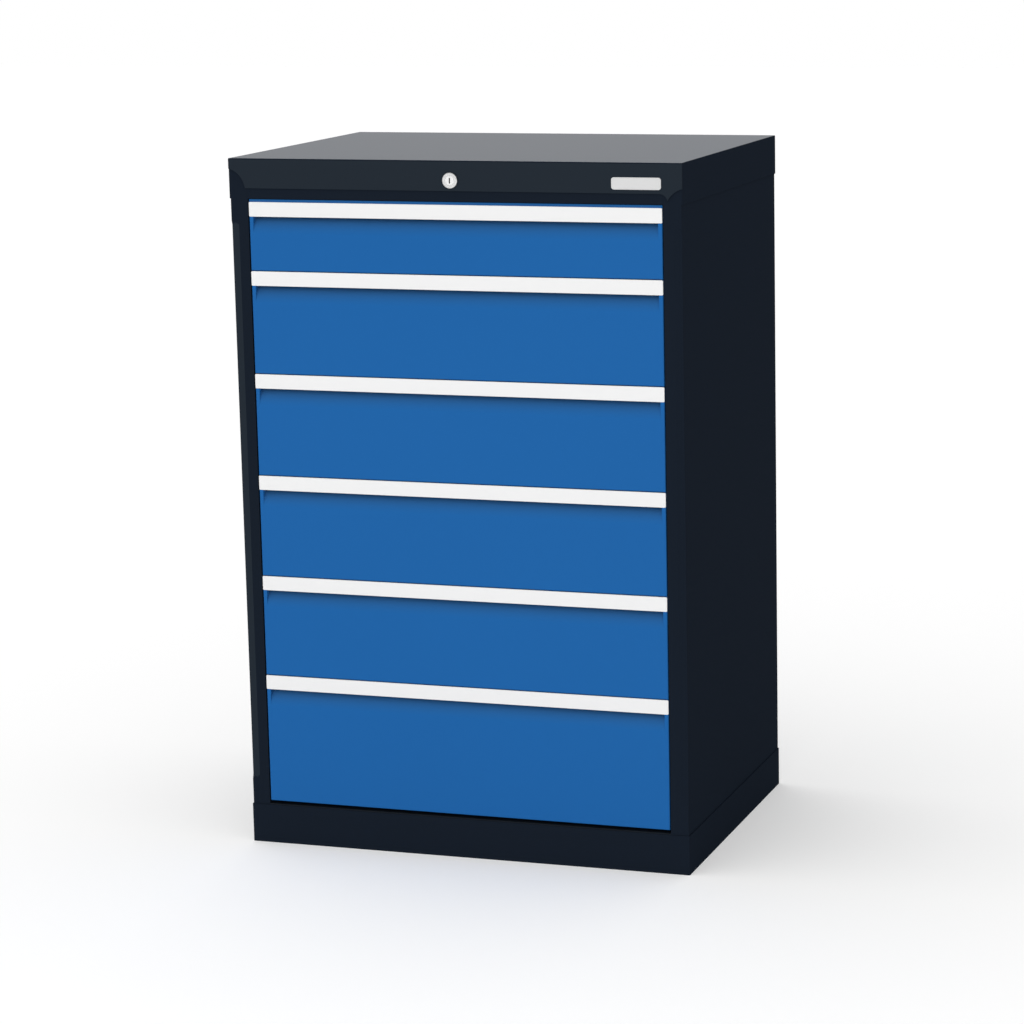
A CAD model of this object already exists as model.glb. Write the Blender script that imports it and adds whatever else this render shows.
"""Studio scene of a workshop drawer cabinet: its finishes, fasteners, badge, light and camera."""

import logging
import math
from dataclasses import dataclass
from enum import Enum
from typing import Any, Dict, Iterable, List, Mapping, Optional, Sequence, Tuple, Union

import bmesh
import bpy
from mathutils import Matrix, Vector


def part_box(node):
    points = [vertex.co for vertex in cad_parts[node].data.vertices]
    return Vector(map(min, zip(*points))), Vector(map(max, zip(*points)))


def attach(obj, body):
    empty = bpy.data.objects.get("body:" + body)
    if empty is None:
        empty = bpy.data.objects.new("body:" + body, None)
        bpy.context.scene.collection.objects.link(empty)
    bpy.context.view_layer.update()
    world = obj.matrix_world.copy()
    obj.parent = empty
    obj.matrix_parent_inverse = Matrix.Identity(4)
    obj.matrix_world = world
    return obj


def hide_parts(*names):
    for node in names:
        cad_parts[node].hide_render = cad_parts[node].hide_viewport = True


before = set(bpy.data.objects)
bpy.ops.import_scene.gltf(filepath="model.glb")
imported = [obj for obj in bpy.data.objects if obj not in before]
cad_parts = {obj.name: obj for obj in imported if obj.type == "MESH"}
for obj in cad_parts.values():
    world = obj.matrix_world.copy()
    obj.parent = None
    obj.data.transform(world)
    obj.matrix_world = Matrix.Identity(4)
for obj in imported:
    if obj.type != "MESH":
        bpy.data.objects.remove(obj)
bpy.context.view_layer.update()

LOG = logging.getLogger("cabinet")
Colour = Tuple[float, float, float]
Triple = Tuple[float, float, float]
Pair = Tuple[float, float]
Operand = Union["Wire", float, int]
DRAWERS = range(1, 7)


class Axis(Enum):
    """Direction that a head faces or a surface is rolled along."""

    RIGHT = (1.0, 0.0, 0.0)
    LEFT = (-1.0, 0.0, 0.0)
    BACK = (0.0, 1.0, 0.0)
    UP = (0.0, 0.0, 1.0)


class Drive(Enum):
    """Recess in a fastener's head."""

    CROSS = True
    NONE = False


class Wire:
    """An output socket that takes part in Python arithmetic by adding Math nodes."""

    def __init__(self, graph: "Graph", socket: bpy.types.NodeSocket) -> None:
        """Keeps the graph and the socket."""
        self.graph = graph
        self.socket = socket

    def _math(self, operation: str, first: Operand, second: Operand) -> "Wire":
        """Adds one Math node.

        Args:
            operation: Blender's name of the operation.
            first: First operand.
            second: Second operand.

        Returns:
            The result.
        """
        return self.graph.add("ShaderNodeMath", {"operation": operation}, {0: first, 1: second})

    def __add__(self, other: Operand) -> "Wire":
        """Sum."""
        return self._math("ADD", self, other)

    def __radd__(self, other: Operand) -> "Wire":
        """Sum with a number on the left."""
        return self._math("ADD", other, self)

    def __sub__(self, other: Operand) -> "Wire":
        """Difference."""
        return self._math("SUBTRACT", self, other)

    def __rsub__(self, other: Operand) -> "Wire":
        """Difference from a number on the left."""
        return self._math("SUBTRACT", other, self)

    def __mul__(self, other: Operand) -> "Wire":
        """Product."""
        return self._math("MULTIPLY", self, other)

    def __rmul__(self, other: Operand) -> "Wire":
        """Product with a number on the left."""
        return self._math("MULTIPLY", other, self)

    def __truediv__(self, other: Operand) -> "Wire":
        """Quotient."""
        return self._math("DIVIDE", self, other)

    def __pow__(self, other: Operand) -> "Wire":
        """Power."""
        return self._math("POWER", self, other)

    def largest(self, other: Operand) -> "Wire":
        """Greater of two values."""
        return self._math("MAXIMUM", self, other)

    def swing(self, amount: float) -> "Wire":
        """Departure of a value between 0 and 1 from its middle, times an amount."""
        return (self - 0.5) * amount

    def output(self, key: str) -> "Wire":
        """Another output of the same node."""
        return Wire(self.graph, self.graph.find(self.socket.node.outputs, key))


class Graph:
    """A node tree with one method that adds any node."""

    def __init__(self, tree: bpy.types.NodeTree) -> None:
        """Keeps the tree that nodes are added to."""
        self.tree = tree

    @staticmethod
    def find(sockets: Iterable[bpy.types.NodeSocket], key: Union[str, int]) -> bpy.types.NodeSocket:
        """Finds a socket.

        Args:
            sockets: A node's inputs or outputs.
            key: Its place, identifier or name.

        Returns:
            The socket.
        """
        ranked = list(sockets)
        if isinstance(key, int):
            return ranked[key]
        for socket in ranked:
            if socket.enabled and key in (socket.identifier, socket.name):
                return socket
        raise KeyError(key)

    def add(
        self,
        kind: str,
        settings: Optional[Mapping[str, Any]] = None,
        inputs: Optional[Mapping[Union[str, int], Any]] = None,
        output: Union[str, int] = 0,
    ) -> Wire:
        """Adds a node, sets it up and feeds its sockets.

        Args:
            kind: Blender's type name of the node.
            settings: The node's own settings, set first; "stops" fills a colour ramp.
            inputs: Values or wires by socket.
            output: The output to hand back.

        Returns:
            That output, or the node's first one.
        """
        node = self.tree.nodes.new(kind)
        for name, value in (settings or {}).items():
            if name == "stops":
                ramp = node.color_ramp.elements
                while len(ramp) < len(value):
                    ramp.new(0.5)
                for element, (place, colour) in zip(ramp, value):
                    element.position = place
                    element.color = (*colour, 1.0)
            else:
                setattr(node, name, value)
        for key, value in (inputs or {}).items():
            socket = self.find(node.inputs, key)
            for item in value if isinstance(value, list) else [value]:
                if isinstance(item, Wire):
                    self.tree.links.new(item.socket, socket)
                elif isinstance(item, tuple) and socket.type == "RGBA":
                    socket.default_value = (*item[:3], 1.0)
                else:
                    socket.default_value = item
        outlets = node.outputs
        return Wire(self, self.find(outlets, output)) if len(outlets) else Wire(self, node.inputs[0])

    def seen(self) -> Wire:
        """1 for rays that reach the camera, straight or by a mirror, and 0 for light."""
        path = self.add("ShaderNodeLightPath", output="Is Camera Ray")
        return path.largest(path.output("Is Glossy Ray")).largest(path.output("Is Transmission Ray"))


@dataclass(frozen=True)
class Texture:
    """A noise: size of its features in metres, how many finer layers it has and their weight."""

    size: float
    detail: float = 2.0
    roughness: float = 0.5


@dataclass(frozen=True)
class Relief:
    """A bump: its depth in metres, its weight and the radius of the softened edges in metres."""

    depth: float
    strength: float
    edge: float


class SurfaceGraph(Graph):
    """The node tree of a material that ends in one Principled BSDF."""

    EDGE_SAMPLES = 4

    def __init__(self, name: str) -> None:
        """Makes a material with an empty tree."""
        self.material = bpy.data.materials.new(name)
        self.material.use_nodes = True
        super().__init__(self.material.node_tree)
        self.tree.nodes.clear()

    def place(self) -> Wire:
        """Object coordinates, in metres."""
        return self.add("ShaderNodeTexCoord", output="Object")

    def noise(self, vector: Wire, texture: Texture) -> Wire:
        """Adds a noise.

        Args:
            vector: Place on the surface.
            texture: What the noise is like.

        Returns:
            The noise, from 0 to 1 around 0.5.
        """
        inputs = {
            "Vector": vector,
            "Scale": 1.0 / texture.size,
            "Detail": texture.detail,
            "Roughness": texture.roughness,
        }
        return self.add("ShaderNodeTexNoise", {"noise_dimensions": "3D"}, inputs, "Fac")

    def stretched(self, vector: Wire, scale: Triple) -> Wire:
        """Place scaled by a Mapping node."""
        return self.add("ShaderNodeMapping", {"vector_type": "POINT"}, {"Vector": vector, "Scale": scale})

    def tinted(self, colour: Union[Colour, Wire], tone: Wire) -> Wire:
        """A colour made lighter or darker by a value around 1."""
        return self.add("ShaderNodeVectorMath", {"operation": "SCALE"}, {"Vector": colour, "Scale": tone})

    def blend(self, first: Colour, second: Colour, share: Wire) -> Wire:
        """Two colours mixed by the second one's share."""
        inputs = {"Factor": share, "A": first, "B": second}
        return self.add("ShaderNodeMix", {"data_type": "RGBA"}, inputs, "Result")

    def facing(self, axis: str, least: float, most: float) -> Wire:
        """How far the surface looks along an axis.

        Args:
            axis: The axis, with a minus sign for its far end.
            least: Part of the normal that counts as 0.
            most: Part of the normal that counts as 1.

        Returns:
            A value from 0 to 1.
        """
        normal = self.add("ShaderNodeNewGeometry", output="True Normal")
        part = self.add("ShaderNodeSeparateXYZ", {}, {"Vector": normal}, axis[-1])
        sign = -1.0 if axis.startswith("-") else 1.0
        return self.add("ShaderNodeMapRange", {"interpolation_type": "SMOOTHSTEP"},
                        {"Value": part * sign, "From Min": least, "From Max": most}, "Result")

    def bump(self, height: Wire, relief: Relief) -> Wire:
        """Adds a bump on softened edges.

        Args:
            height: Height of the surface, from 0 to 1.
            relief: What the bump is like.

        Returns:
            The normal.
        """
        settings = {"samples": self.EDGE_SAMPLES}
        rounded = self.add("ShaderNodeBevel", settings, {"Radius": relief.edge}, "Normal")
        inputs = {"Strength": relief.strength, "Distance": relief.depth, "Height": height, "Normal": rounded}
        return self.add("ShaderNodeBump", {}, inputs, "Normal")

    def principled(self, inputs: Mapping[Union[str, int], Any]) -> bpy.types.Material:
        """Ends the tree.

        Args:
            inputs: Values or wires of the Principled BSDF.

        Returns:
            The finished material.
        """
        shader = self.add("ShaderNodeBsdfPrincipled", {}, inputs)
        self.add("ShaderNodeOutputMaterial", {}, {"Surface": shader})
        return self.material


@dataclass(frozen=True)
class Finish:
    """What every finish has: a name and a colour."""

    name: str
    colour: Colour

    def material(self) -> bpy.types.Material:
        """The finish's material, made on first use."""
        return bpy.data.materials.get(self.name) or self.mix()

    def mix(self) -> bpy.types.Material:
        """Builds the material's nodes."""
        raise NotImplementedError


@dataclass(frozen=True)
class PowderCoat(Finish):
    """Baked powder paint on sheet steel, with the fine orange peel that it dries with."""

    gloss_index: float = 1.02
    roughness: float = 0.45
    cloud: float = 0.05
    speckle: float = 0.05
    dullness: Pair = (0.12, 0.06)
    peel: Texture = Texture(0.0016, 1.5, 0.45)
    grain: Texture = Texture(0.0004, 1.0)
    clouds: Texture = Texture(0.35)
    relief: Relief = Relief(0.00004, 0.5, 0.0006)

    def mix(self) -> bpy.types.Material:
        """Builds the paint."""
        graph = SurfaceGraph(self.name)
        place = graph.place()
        peel = graph.noise(place, self.peel)
        grain = graph.noise(place, self.grain)
        cloud = graph.noise(place, self.clouds)
        tone = 1 + cloud.swing(self.cloud) + grain.swing(self.speckle)
        inputs = {
            "Base Color": graph.tinted(self.shade(graph), tone),
            "Roughness": self.roughness + peel.swing(self.dullness[0]) + cloud.swing(self.dullness[1]),
            "IOR": self.gloss_index,
            "Normal": graph.bump(peel, self.relief),
        }
        inputs.update(self.polish(graph))
        return graph.principled(inputs)

    def shade(self, graph: SurfaceGraph) -> Union[Colour, Wire]:
        """The colour that the grain is laid over."""
        return self.colour

    def polish(self, graph: SurfaceGraph) -> Dict[str, Any]:
        """Further values of the shader; plain paint has none."""
        return {}


@dataclass(frozen=True)
class PolishedCoat(PowderCoat):
    """Powder paint that is rubbed smooth, and so paler and glossier, on faces that look up."""

    top_colour: Colour = (0.0, 0.0, 0.0)
    sheen_index: float = 1.1
    sheen_roughness: float = 0.3
    upward: Pair = (0.6, 0.95)

    def shade(self, graph: SurfaceGraph) -> Wire:
        """The paint's colour, and the paler one on top."""
        return graph.blend(self.colour, self.top_colour, graph.facing("Z", *self.upward))

    def polish(self, graph: SurfaceGraph) -> Dict[str, Any]:
        """A clear sheen on top."""
        return {
            "Coat Weight": graph.facing("Z", *self.upward),
            "Coat IOR": self.sheen_index,
            "Coat Roughness": self.sheen_roughness,
        }


@dataclass(frozen=True)
class BevelledCoat(PowderCoat):
    """Powder paint that lies lighter on the bevel of the left post."""

    bevel_colour: Colour = (0.0, 0.0, 0.0)
    leftward: Pair = (0.08, 0.14)
    ahead: Pair = (0.9, 0.95)

    def shade(self, graph: SurfaceGraph) -> Wire:
        """The paint's colour, and the lighter one on slopes that look ahead and a little left."""
        slope = graph.facing("-X", *self.leftward) * graph.facing("-Y", *self.ahead)
        return graph.blend(self.colour, self.bevel_colour, slope)


@dataclass(frozen=True)
class GrippedCoat(PowderCoat):
    """Powder paint that fingers have dulled where it lies behind the front's face."""

    worn_colour: Colour = (0.0, 0.0, 0.0)
    face: float = 0.0
    reach: float = 0.01
    most: float = 0.75
    growth: float = 0.6
    ahead: Pair = (0.3, 0.5)

    def shade(self, graph: SurfaceGraph) -> Wire:
        """The paint's colour, duller the deeper it lies."""
        depth = graph.add("ShaderNodeSeparateXYZ", {}, {"Vector": graph.place()}, "Y")
        span = {"Value": depth, "From Min": self.face, "From Max": self.face + self.reach}
        deep = graph.add("ShaderNodeMapRange", {}, span, "Result")
        worn = deep ** self.growth * self.most * graph.facing("-Y", *self.ahead)
        return graph.blend(self.colour, self.worn_colour, worn)


@dataclass(frozen=True)
class PlatedSteel(Finish):
    """Zinc on rolled steel, streaked along the way it was rolled."""

    rolled: Axis = Axis.BACK
    roughness: float = 0.34
    stretch: float = 0.02
    level: float = 0.96
    contrast: Pair = (0.22, 0.16)
    dullness: Pair = (0.2, 0.15)
    streaks: Texture = Texture(0.0011, 3.0, 0.6)
    blooms: Texture = Texture(0.03, 3.0, 0.55)
    relief: Relief = Relief(0.00003, 0.35, 0.0003)

    def mix(self) -> bpy.types.Material:
        """Builds the plating."""
        graph = SurfaceGraph(self.name)
        place = graph.place()
        scale = tuple(self.stretch if part else 1.0 for part in self.rolled.value)
        streak = graph.noise(graph.stretched(place, scale), self.streaks)
        bloom = graph.noise(place, self.blooms)
        tone = self.level + streak.swing(self.contrast[0]) + bloom.swing(self.contrast[1])
        return graph.principled({
            "Base Color": graph.tinted(self.colour, tone),
            "Metallic": 1.0,
            "Roughness": self.roughness + streak.swing(self.dullness[0]) + bloom.swing(self.dullness[1]),
            "Normal": graph.bump(streak, self.relief),
        })


@dataclass(frozen=True)
class TurnedNickel(Finish):
    """Satin nickel, turned in rings about a point of the front."""

    centre: Pair = (0.0, 0.0)
    roughness: float = 0.3
    level: float = 0.97
    contrast: Pair = (0.1, 0.05)
    dullness: Pair = (0.14, 0.06)
    rings: Texture = Texture(0.00025, 2.0, 0.6)
    hazes: Texture = Texture(0.004)
    relief: Relief = Relief(0.00001, 0.25, 0.0002)

    def mix(self) -> bpy.types.Material:
        """Builds the plating."""
        graph = SurfaceGraph(self.name)
        place = graph.place()
        parts = graph.add("ShaderNodeSeparateXYZ", {}, {"Vector": place}, "X")
        across = parts - self.centre[0]
        upward = parts.output("Z") - self.centre[1]
        radius = (across * across + upward * upward) ** 0.5
        ring = graph.add("ShaderNodeTexNoise", {"noise_dimensions": "1D"}, {
            "W": radius * (1.0 / self.rings.size),
            "Scale": 1.0,
            "Detail": self.rings.detail,
            "Roughness": self.rings.roughness,
        }, "Fac")
        haze = graph.noise(place, self.hazes)
        tone = self.level + ring.swing(self.contrast[0]) + haze.swing(self.contrast[1])
        return graph.principled({
            "Base Color": graph.tinted(self.colour, tone),
            "Metallic": 1.0,
            "Roughness": self.roughness + ring.swing(self.dullness[0]) + haze.swing(self.dullness[1]),
            "Normal": graph.bump(ring, self.relief),
        })


@dataclass(frozen=True)
class MouldedPlastic(Finish):
    """Moulded plastic with a fine spark-eroded texture."""

    roughness: float = 0.48
    gloss_index: float = 1.4
    contrast: Pair = (0.05, 0.04)
    dullness: float = 0.15
    sparks: Texture = Texture(0.0005, 2.0, 0.55)
    flows: Texture = Texture(0.02)
    relief: Relief = Relief(0.00002, 0.4, 0.0003)

    def mix(self) -> bpy.types.Material:
        """Builds the plastic."""
        graph = SurfaceGraph(self.name)
        place = graph.place()
        spark = graph.noise(place, self.sparks)
        flow = graph.noise(place, self.flows)
        tone = 1 + spark.swing(self.contrast[0]) + flow.swing(self.contrast[1])
        return graph.principled({
            "Base Color": graph.tinted(self.colour, tone),
            "Roughness": self.roughness + spark.swing(self.dullness),
            "IOR": self.gloss_index,
            "Normal": graph.bump(spark, self.relief),
        })


ANTHRACITE: Colour = (0.0097, 0.0144, 0.0232)
PALE_ANTHRACITE: Colour = (0.0185, 0.0252, 0.0343)
FRONT_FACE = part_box("drawer_1_front")[0][1]
LOCK_CENTRE: Pair = (0.0, 0.991)

CASING_COAT = PowderCoat("anthracite_coat", ANTHRACITE, gloss_index=1.012, roughness=0.5)
POST_COAT = BevelledCoat("anthracite_post_coat", ANTHRACITE, gloss_index=1.012, roughness=0.5,
                         bevel_colour=PALE_ANTHRACITE)
TOP_COAT = PolishedCoat("anthracite_top_coat", ANTHRACITE, gloss_index=1.012, roughness=0.5,
                        top_colour=(0.024, 0.037, 0.060), sheen_index=1.11)
FASCIA_COAT = PowderCoat("anthracite_fascia_coat", PALE_ANTHRACITE, gloss_index=1.02)
INNER_COAT = PowderCoat("anthracite_inner_coat", (0.012, 0.016, 0.022), gloss_index=1.1, roughness=0.5)
FRONT_COAT = GrippedCoat("blue_coat", (0.0152, 0.1221, 0.3712), gloss_index=1.06, roughness=0.42,
                         worn_colour=(0.030, 0.080, 0.160), face=FRONT_FACE, reach=0.011)
STRIP_COAT = PowderCoat("off_white_coat", (0.855, 0.855, 0.855), gloss_index=1.1, roughness=0.42,
                        cloud=0.012, speckle=0.012)
TRAY_COAT = PowderCoat("light_grey_coat", (0.50, 0.51, 0.52), gloss_index=1.2, roughness=0.45,
                       cloud=0.03, speckle=0.03)
RAIL_ZINC = PlatedSteel("zinc_rails", (0.60, 0.61, 0.62), Axis.BACK)
BAR_ZINC = PlatedSteel("zinc_bars", (0.52, 0.53, 0.54), Axis.UP, roughness=0.38)
SCREW_ZINC = PlatedSteel("zinc_screws", (0.58, 0.58, 0.57), Axis.UP, roughness=0.3)
LOCK_NICKEL = TurnedNickel("nickel_lock", (0.52, 0.52, 0.52), LOCK_CENTRE)
PLUG_NICKEL = TurnedNickel("nickel_plug", (0.66, 0.66, 0.66), LOCK_CENTRE, roughness=0.34,
                           rings=Texture(0.0002, 2.0, 0.6))
GUIDE_NYLON = MouldedPlastic("black_nylon", (0.022, 0.022, 0.023))
BADGE_FACE = MouldedPlastic("off_white_badge", (0.66, 0.66, 0.66), roughness=0.35,
                            sparks=Texture(0.0004, 2.0, 0.55), relief=Relief(0.00001, 0.4, 0.0003))


def dress(finish: Finish, nodes: Iterable[str]) -> None:
    """Gives CAD nodes a finish.

    Args:
        finish: The finish.
        nodes: Names of the nodes.
    """
    for name in nodes:
        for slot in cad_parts[name].material_slots:
            slot.material = finish.material()
        LOG.info("%s: %s", name, finish.name)


def keep(piece: bpy.types.Object, body: str, stands_for: Sequence[str] = ()) -> None:
    """Hands a finished piece to the frame.

    Args:
        piece: The piece, in place.
        body: The body that it rides on.
        stands_for: CAD nodes that it replaces.
    """
    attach(piece, body)
    if stands_for:
        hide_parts(*stands_for)
    LOG.info("%s: rides on %s, %d faces", piece.name, body, len(piece.data.polygons))


def linked(name: str, mesh: bpy.types.Mesh) -> bpy.types.Object:
    """Makes an object of a mesh and puts it in the scene."""
    piece = bpy.data.objects.new(name, mesh)
    bpy.context.scene.collection.objects.link(piece)
    return piece


class FastenerTree:
    """Geometry Nodes tree that sets a screw or rivet on every point of a mesh."""

    NAME = "fastener_heads"
    SIZES = ("Head Diameter", "Head Height", "Dome", "Recess Width", "Recess Depth", "Shank Diameter",
             "Shank Length")
    HEAD_VERTICES = 28
    HEAD_RINGS = 5
    SHANK_VERTICES = 14
    RECESS_SHARE = 0.56

    def __init__(self) -> None:
        """Builds the tree."""
        self.tree = bpy.data.node_groups.new(self.NAME, "GeometryNodeTree")
        self.keys: Dict[str, str] = {}
        for name, kind, way in (
            ("Places", "NodeSocketGeometry", "INPUT"),
            *((size, "NodeSocketFloat", "INPUT") for size in self.SIZES),
            ("Recessed", "NodeSocketBool", "INPUT"),
            ("Facing", "NodeSocketVector", "INPUT"),
            ("Seed", "NodeSocketInt", "INPUT"),
            ("Material", "NodeSocketMaterial", "INPUT"),
            ("Fasteners", "NodeSocketGeometry", "OUTPUT"),
        ):
            socket = self.tree.interface.new_socket(name, in_out=way, socket_type=kind)
            self.keys[name] = socket.identifier
        self.graph = Graph(self.tree)
        self._fill()

    def _fill(self) -> None:
        """Adds the nodes: a domed head, its recess and shank, set on the points."""
        graph = self.graph
        inlet = graph.add("NodeGroupInput", output="Places")
        size = {name: inlet.output(name) for name in self.SIZES}
        radius = size["Head Diameter"] * 0.5
        disc = graph.add(
            "GeometryNodeMeshCylinder", {"fill_type": "TRIANGLE_FAN"},
            {"Vertices": self.HEAD_VERTICES, "Side Segments": 1, "Fill Segments": self.HEAD_RINGS,
             "Radius": radius, "Depth": size["Head Height"]},
            "Mesh",
        )
        place = graph.add("GeometryNodeInputPosition")
        parts = graph.add("ShaderNodeSeparateXYZ", {}, {"Vector": place}, "X")
        reach = (parts * parts + parts.output("Y") * parts.output("Y")) / (radius * radius)
        over = graph.add("FunctionNodeCompare", {"data_type": "FLOAT", "operation": "GREATER_THAN"},
                         {"A": parts.output("Z"), "B": 0.0}, "Result")
        rise = size["Head Height"] * 0.5 - size["Dome"] * reach
        under = size["Head Height"] * 0.5
        lift = graph.add("ShaderNodeCombineXYZ", {}, {"Z": rise})
        drop = graph.add("ShaderNodeCombineXYZ", {}, {"Z": under})
        offset = graph.add("GeometryNodeSwitch", {"input_type": "VECTOR"},
                           {"Switch": over, "False": drop, "True": lift})
        domed = graph.add("GeometryNodeSetPosition", {}, {"Geometry": disc, "Offset": offset})
        head = graph.add("GeometryNodeSwitch", {"input_type": "GEOMETRY"}, {
            "Switch": inlet.output("Recessed"), "False": domed, "True": self._recessed(domed, size),
        })
        shank = graph.add(
            "GeometryNodeMeshCylinder", {"fill_type": "TRIANGLE_FAN"},
            {"Vertices": self.SHANK_VERTICES, "Radius": size["Shank Diameter"] * 0.5,
             "Depth": size["Shank Length"]},
            "Mesh",
        )
        sink = graph.add("ShaderNodeCombineXYZ", {}, {"Z": size["Shank Length"] * -0.5})
        sunk = graph.add("GeometryNodeSetPosition", {}, {"Geometry": shank, "Offset": sink})
        whole = graph.add("GeometryNodeJoinGeometry", {}, {0: [head, sunk]})
        spin = graph.add("FunctionNodeRandomValue", {"data_type": "FLOAT"},
                         {"Min": 0.0, "Max": math.tau, "Seed": inlet.output("Seed")}, "Value")
        twist = graph.add("FunctionNodeAxisAngleToRotation", {}, {"Axis": (0.0, 0.0, 1.0), "Angle": spin})
        turn = graph.add("FunctionNodeAlignRotationToVector", {"axis": "Z"},
                         {"Rotation": twist, "Vector": inlet.output("Facing")})
        points = graph.add("GeometryNodeMeshToPoints", {}, {"Mesh": inlet})
        spread = graph.add("GeometryNodeInstanceOnPoints", {},
                           {"Points": points, "Instance": whole, "Rotation": turn})
        plain = graph.add("GeometryNodeRealizeInstances", {}, {"Geometry": spread})
        painted = graph.add("GeometryNodeSetMaterial", {},
                            {"Geometry": plain, "Material": inlet.output("Material")})
        graph.add("NodeGroupOutput", {}, {"Fasteners": painted})

    def _recessed(self, head: Wire, size: Mapping[str, Wire]) -> Wire:
        """Cuts a cross into a head.

        Args:
            head: The domed head.
            size: The tree's size inputs.

        Returns:
            The head with its recess.
        """
        graph = self.graph
        long = size["Head Diameter"] * self.RECESS_SHARE
        deep = size["Recess Depth"] * 2
        arms: List[Wire] = []
        for x, y in ((long, size["Recess Width"]), (size["Recess Width"], long)):
            extent = graph.add("ShaderNodeCombineXYZ", {}, {"X": x, "Y": y, "Z": deep})
            arm = graph.add("GeometryNodeMeshCube", {}, {"Size": extent}, "Mesh")
            raised = graph.add("ShaderNodeCombineXYZ", {}, {"Z": size["Head Height"]})
            arms.append(graph.add("GeometryNodeSetPosition", {}, {"Geometry": arm, "Offset": raised}))
        return graph.add("GeometryNodeMeshBoolean", {"operation": "DIFFERENCE", "solver": "EXACT"},
                         {"Mesh 1": head, "Mesh 2": arms}, "Mesh")


@dataclass
class FastenerRun:
    """One body's screws or rivets of one kind and facing."""

    name: str
    places: List[Triple]
    facing: Axis
    head: float
    height: float
    shank: float
    length: float
    drive: Drive = Drive.CROSS
    finish: Finish = SCREW_ZINC
    dome_share: float = 0.45
    recess_shares: Pair = (0.16, 0.6)
    seed: int = 7

    def mesh(self, tree: FastenerTree) -> bpy.types.Mesh:
        """Runs the tree on the places.

        Args:
            tree: The fastener tree.

        Returns:
            A plain mesh of all the fasteners.
        """
        spots = bpy.data.meshes.new(self.name + "_places")
        spots.from_pydata(self.places, [], [])
        carrier = linked(self.name + "_carrier", spots)
        modifier = carrier.modifiers.new("fasteners", "NODES")
        modifier.node_group = tree.tree
        values = {
            "Head Diameter": self.head,
            "Head Height": self.height,
            "Dome": self.height * self.dome_share,
            "Recess Width": self.head * self.recess_shares[0],
            "Recess Depth": self.height * self.recess_shares[1],
            "Shank Diameter": self.shank,
            "Shank Length": self.length,
            "Recessed": self.drive.value,
            "Facing": self.facing.value,
            "Seed": self.seed,
            "Material": self.finish.material(),
        }
        for key, value in values.items():
            modifier[tree.keys[key]] = value
        carrier.update_tag()
        bpy.context.view_layer.update()
        seen = carrier.evaluated_get(bpy.context.evaluated_depsgraph_get())
        result = bpy.data.meshes.new_from_object(seen)
        carrier.modifiers.clear()
        bpy.data.objects.remove(carrier)
        return result


def joined(name: str, meshes: Sequence[bpy.types.Mesh]) -> bpy.types.Object:
    """Joins meshes of one material into one piece.

    Args:
        name: The piece's name.
        meshes: The meshes, in place.

    Returns:
        The piece, in the scene.
    """
    whole = bmesh.new()
    for mesh in meshes:
        whole.from_mesh(mesh)
    result = bpy.data.meshes.new(name)
    whole.to_mesh(result)
    whole.free()
    for material in meshes[0].materials:
        result.materials.append(material)
    return linked(name, result)


@dataclass
class Casing:
    """Cap, sides, back and plinth, with the screws in the back and the badge."""

    posts: Tuple[str, ...] = ("right_side_panel", "left_side_panel")
    panels: Tuple[str, ...] = ("back_panel", "front_crossbar", "plinth")
    screw_head: float = 0.0080
    screw_height: float = 0.0014
    screw_shank: float = 0.0040
    screw_length: float = 0.0080
    screw_rows: int = 5
    badge_corner: float = 0.0040
    badge_least_corner: float = 0.0006
    badge_corner_steps: int = 8
    badge_edge: Tuple[Pair, ...] = ((0.0, 0.0004), (0.00012, 0.00015), (0.0004, 0.0))  # inset, depth
    badge_rim: float = 0.0011
    badge_slope: float = 0.0004
    badge_sink: float = 0.00035

    def build(self, tree: FastenerTree) -> None:
        """Dresses the casing and adds its small pieces.

        Args:
            tree: The fastener tree.
        """
        dress(POST_COAT, self.posts)
        dress(CASING_COAT, self.panels)
        dress(TOP_COAT, ("top_cover",))
        dress(FASCIA_COAT, ("lock_fascia",))
        dress(INNER_COAT, ("floor_pan", "front_uprights", "rear_uprights"))
        self.back_screws(tree)
        self.badge()

    def back_screws(self, tree: FastenerTree) -> None:
        """Sets the screws in the back panel."""
        low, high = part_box("back_screws")
        half = self.screw_head / 2
        places: List[Triple] = []
        pitch = (high[2] - low[2] - self.screw_head) / (self.screw_rows - 1)
        for row in range(self.screw_rows):
            for x in (low[0] + half, high[0] - half):
                places.append((x, high[1] - self.screw_height, low[2] + half + row * pitch))
        run = FastenerRun("back_screw_heads", places, Axis.BACK, self.screw_head, self.screw_height,
                          self.screw_shank, self.screw_length)
        piece = linked(run.name, run.mesh(tree))
        keep(piece, "cabinet", ("back_screws",))

    def badge(self) -> None:
        """Builds the bare badge: a plate with a raised rim and a shallow field."""
        low, high = (Vector(corner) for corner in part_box("badge_plate"))
        shell = bmesh.new()
        rings: List[List[bmesh.types.BMVert]] = []
        profile = ((0.0, high.y - low.y), *self.badge_edge, (self.badge_rim, 0.0),
                   (self.badge_rim + self.badge_slope, self.badge_sink))
        for inset, depth in profile:
            corner = max(self.badge_corner - inset, self.badge_least_corner)
            outline = rounded_box(low.x + inset, high.x - inset, low.z + inset, high.z - inset, corner,
                                  self.badge_corner_steps)
            rings.append([shell.verts.new((x, low.y + depth, z)) for x, z in outline])
        for first, second in zip(rings, rings[1:]):
            for index in range(len(first)):
                after = (index + 1) % len(first)
                shell.faces.new((first[index], first[after], second[after], second[index]))
        shell.faces.new(rings[-1])
        shell.faces.new(list(reversed(rings[0])))
        bmesh.ops.recalc_face_normals(shell, faces=shell.faces)
        mesh = bpy.data.meshes.new("badge")
        shell.to_mesh(mesh)
        shell.free()
        mesh.materials.append(BADGE_FACE.material())
        keep(linked("badge", mesh), "cabinet", ("badge_plate",))


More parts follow.
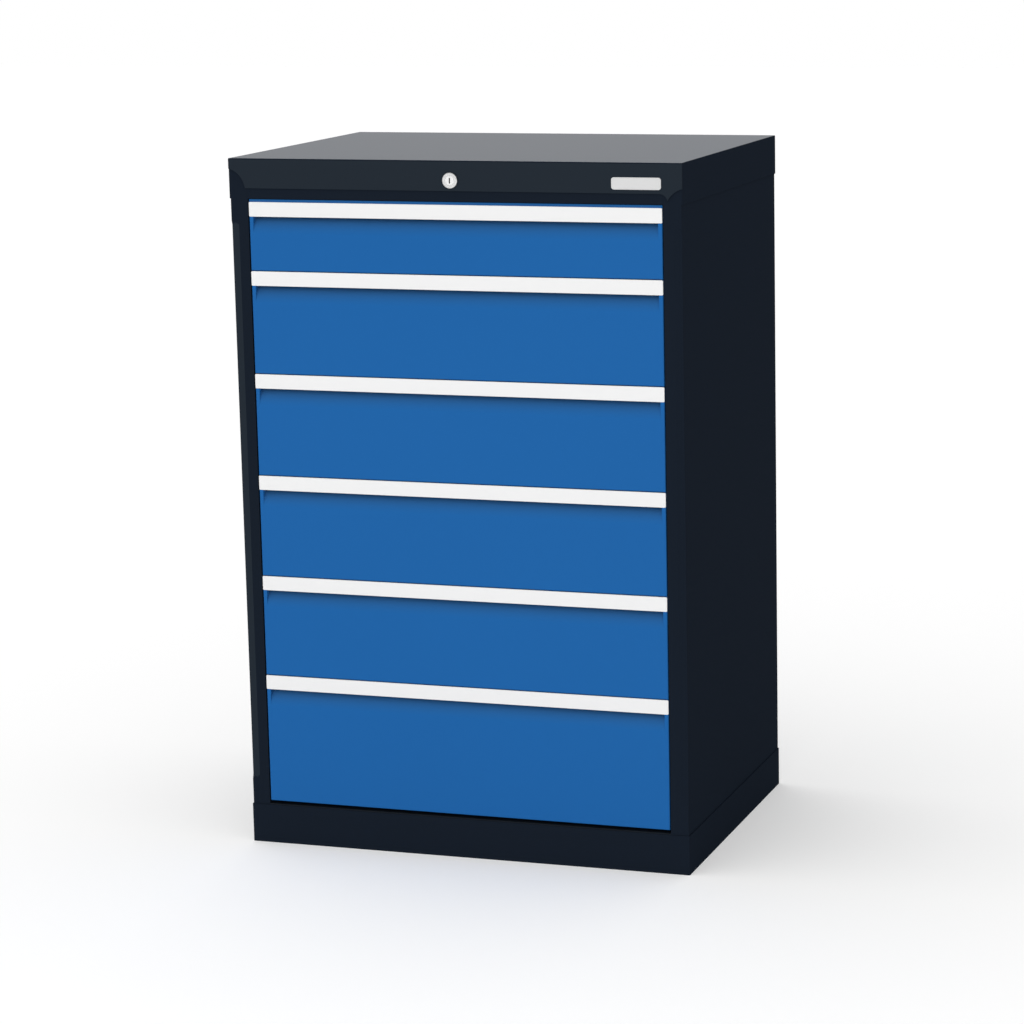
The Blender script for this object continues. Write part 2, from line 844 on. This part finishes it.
def rounded_box(
    left: float, right: float, foot: float, head: float, corner: float, steps: int
) -> List[Pair]:
    """Points round a rectangle with rounded corners.

    Args:
        left: Lowest X.
        right: Highest X.
        foot: Lowest Z.
        head: Highest Z.
        corner: Radius of the corners.
        steps: Points along each corner.

    Returns:
        The points, in order.
    """
    points: List[Pair] = []
    centres = ((right - corner, head - corner), (left + corner, head - corner),
               (left + corner, foot + corner), (right - corner, foot + corner))
    for turn, (x, z) in enumerate(centres):
        for step in range(steps + 1):
            angle = (turn + step / steps) * math.pi / 2
            points.append((x + corner * math.cos(angle), z + corner * math.sin(angle)))
    return points


@dataclass
class Slides:
    """Telescopic slides: the rails in the casing and their screws."""

    screw_head: float = 0.0090
    screw_height: float = 0.0022
    screw_shank: float = 0.0050
    screw_length: float = 0.0100

    def build(self, tree: FastenerTree) -> None:
        """Dresses the rails and sets their screws.

        Args:
            tree: The fastener tree.
        """
        dress(RAIL_ZINC, ("right_cabinet_rails", "left_cabinet_rails"))
        dress(RAIL_ZINC, (f"drawer_{number}_middle_rails" for number in DRAWERS))
        dress(RAIL_ZINC, (f"drawer_{number}_rails" for number in DRAWERS))
        self.rail_screws(tree)

    def rail_screws(self, tree: FastenerTree) -> None:
        """Sets the screws that hold the outer rails to the uprights."""
        low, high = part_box("rail_screws")
        half = self.screw_head / 2
        meshes: List[bpy.types.Mesh] = []
        for facing, x in ((Axis.RIGHT, low[0] + self.screw_length), (Axis.LEFT, high[0] - self.screw_length)):
            places: List[Triple] = []
            for number in DRAWERS:
                foot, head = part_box(f"drawer_{number}_rails")
                places += [(x, y, (foot[2] + head[2]) / 2) for y in (low[1] + half, high[1] - half)]
            run = FastenerRun(f"rail_screws_{facing.name.lower()}", places, facing, self.screw_head,
                              self.screw_height, self.screw_shank, self.screw_length)
            meshes.append(run.mesh(tree))
        keep(joined("rail_screw_heads", meshes), "cabinet", ("rail_screws",))


@dataclass
class Drawer:
    """One drawer: its front, handle strip and tray, and the rivets that hold them together."""

    number: int
    rivet_head: float = 0.0065
    rivet_height: float = 0.0012
    rivet_shank: float = 0.0030
    rivet_length: float = 0.0008
    rivet_dome: float = 0.8
    side_rivets: int = 4
    front_rivets: int = 6
    rivet_margin: float = 0.030
    tray_sheet: float = 0.001

    def build(self, tree: FastenerTree) -> None:
        """Dresses the drawer and adds its rivets.

        Args:
            tree: The fastener tree.
        """
        dress(FRONT_COAT, (f"drawer_{self.number}_front",))
        dress(STRIP_COAT, (f"drawer_{self.number}_handle",))
        dress(TRAY_COAT, (f"drawer_{self.number}_tray",))
        dress(BAR_ZINC, (f"drawer_{self.number}_catch",))
        self.rivets(tree)

    def rivets(self, tree: FastenerTree) -> None:
        """Sets the rivets inside the tray: through its sides to the rails and through its front wall."""
        low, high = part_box(f"drawer_{self.number}_tray")
        rail_low, rail_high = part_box(f"drawer_{self.number}_rails")
        level = (rail_low[2] + rail_high[2]) / 2
        sheet = self.tray_sheet
        along = self.spread(low[1], high[1], self.side_rivets)
        across = self.spread(low[0], high[0], self.front_rivets)
        runs = (
            ("left", Axis.RIGHT, [(low[0] + sheet, y, level) for y in along]),
            ("right", Axis.LEFT, [(high[0] - sheet, y, level) for y in along]),
            ("front", Axis.BACK, [(x, low[1] + sheet, level) for x in across]),
        )
        meshes: List[bpy.types.Mesh] = []
        for side, facing, places in runs:
            run = FastenerRun(f"drawer_{self.number}_{side}_rivets", places, facing, self.rivet_head,
                              self.rivet_height, self.rivet_shank, self.rivet_length, Drive.NONE,
                              dome_share=self.rivet_dome)
            meshes.append(run.mesh(tree))
        keep(joined(f"drawer_{self.number}_rivets", meshes), f"drawer_{self.number}")

    def spread(self, low: float, high: float, count: int) -> List[float]:
        """Evenly spaced places between two ends, a margin in from each."""
        pitch = (high - low - self.rivet_margin * 2) / (count - 1)
        return [low + self.rivet_margin + index * pitch for index in range(count)]


@dataclass
class Lock:
    """Cylinder lock in the fascia and the bars that it moves."""

    cylinder: Tuple[str, ...] = ("lock_housing", "lock_nut")
    plug: Tuple[str, ...] = ("lock_plug",)
    bars: Tuple[str, ...] = ("lock_cam", "lock_slider", "locking_bar", "locking_tabs")
    guides: Tuple[str, ...] = ("slider_guides", "bar_guides")

    def build(self) -> None:
        """Dresses the lock and its works."""
        dress(LOCK_NICKEL, self.cylinder)
        dress(PLUG_NICKEL, self.plug)
        dress(BAR_ZINC, self.bars)
        dress(GUIDE_NYLON, self.guides)


@dataclass(frozen=True)
class Softbox:
    """A rectangular lamp: where it hangs, the point that it faces, its width and height, and its watts."""

    name: str
    spot: Triple
    target: Triple
    size: Pair
    power: float

    def hang(self) -> None:
        """Puts the lamp in the scene."""
        lamp = bpy.data.lights.new(self.name, "AREA")
        lamp.shape = "RECTANGLE"
        lamp.size, lamp.size_y = self.size
        lamp.energy = self.power
        holder = bpy.data.objects.new(self.name, lamp)
        holder.location = self.spot
        holder.rotation_euler = (Vector(self.target) - Vector(self.spot)).to_track_quat("-Z", "Y").to_euler()
        bpy.context.scene.collection.objects.link(holder)


@dataclass
class Studio:
    """Floor, light and camera."""

    eye: Triple = (1.60334, -4.49524, 1.39095)
    yaw: float = -17.8607
    pitch: float = -10.9814
    roll: float = -0.9163
    focal_pixels: float = 3218.37
    centre_pixels: Pair = (102.385, 0.77)
    image_pixels: float = 1024.0
    sensor: float = 36.0
    far: float = 100.0
    floor_half: float = 20.0
    floor_tone: float = 0.82
    floor_glow: float = 0.22
    sky: float = 0.97
    lean: float = 0.35
    lamps: Tuple[Softbox, ...] = (
        Softbox("key_light", (-2.2, -2.6, 1.5), (0.0, -0.2, 0.5), (1.4, 2.0), 1.5),
        Softbox("low_fill", (0.4, -3.0, 0.4), (0.0, -0.25, 0.1), (3.0, 0.7), 13.0),
    )

    def build(self) -> None:
        """Sets the stage."""
        view = bpy.context.scene.view_settings
        view.view_transform = "Standard"
        self.floor()
        self.world()
        for lamp in self.lamps:
            lamp.hang()
        self.camera()

    def floor(self) -> None:
        """Lays a plain pale floor that turns white for the camera and keeps the shadow."""
        half = self.floor_half
        mesh = bpy.data.meshes.new("floor")
        corners = [(-half, -half, 0.0), (half, -half, 0.0), (half, half, 0.0), (-half, half, 0.0)]
        mesh.from_pydata(corners, [], [(0, 1, 2, 3)])
        graph = SurfaceGraph("pale_floor")
        matt = graph.add("ShaderNodeBsdfDiffuse", {}, {"Color": (self.floor_tone,) * 3})
        glow = graph.add("ShaderNodeEmission", {},
                         {"Color": (1.0, 1.0, 1.0), "Strength": graph.seen() * self.floor_glow})
        both = graph.add("ShaderNodeAddShader", {}, {0: matt, 1: glow})
        graph.add("ShaderNodeOutputMaterial", {}, {"Surface": both})
        mesh.materials.append(graph.material)
        linked("floor", mesh)

    def world(self) -> None:
        """Makes the surroundings plain white, and as light a little weaker from the right."""
        world = bpy.data.worlds.new("studio")
        bpy.context.scene.world = world
        world.use_nodes = True
        world.node_tree.nodes.clear()
        graph = Graph(world.node_tree)
        way = graph.add("ShaderNodeTexCoord", output="Generated")
        across = graph.add("ShaderNodeSeparateXYZ", {}, {"Vector": way}, "X")
        soft = self.sky - across * self.lean
        strength = soft + (1.0 - soft) * graph.seen()
        light = graph.add("ShaderNodeBackground", {}, {"Color": (1.0, 1.0, 1.0), "Strength": strength})
        graph.add("ShaderNodeOutputWorld", {}, {"Surface": light})

    def camera(self) -> None:
        """Sets the camera at the photograph's angle."""
        yaw, pitch, roll = (math.radians(angle) for angle in (self.yaw, self.pitch, self.roll))
        ahead = Vector((math.sin(yaw) * math.cos(pitch), math.cos(yaw) * math.cos(pitch), math.sin(pitch)))
        level = Vector((math.cos(yaw), -math.sin(yaw), 0.0))
        upward = level.cross(ahead)
        right = level * math.cos(roll) + upward * math.sin(roll)
        top = upward * math.cos(roll) - level * math.sin(roll)
        lens = bpy.data.cameras.new("camera")
        lens.sensor_fit = "HORIZONTAL"
        lens.sensor_width = self.sensor
        lens.lens = self.focal_pixels / self.image_pixels * self.sensor
        lens.shift_x = -self.centre_pixels[0] / self.image_pixels
        lens.shift_y = self.centre_pixels[1] / self.image_pixels
        lens.clip_end = self.far
        holder = bpy.data.objects.new("camera", lens)
        turn = Matrix((right, top, -ahead)).transposed().to_4x4()
        holder.matrix_world = Matrix.Translation(self.eye) @ turn
        bpy.context.scene.collection.objects.link(holder)
        bpy.context.scene.camera = holder


def main() -> None:
    """Builds the cabinet's looks, piece by piece, and the studio round it."""
    logging.basicConfig(level=logging.INFO, format="%(name)s: %(message)s")
    tree = FastenerTree()
    Casing().build(tree)
    Slides().build(tree)
    for number in DRAWERS:
        Drawer(number).build(tree)
    Lock().build()
    Studio().build()


if __name__ == "__main__":
    main()
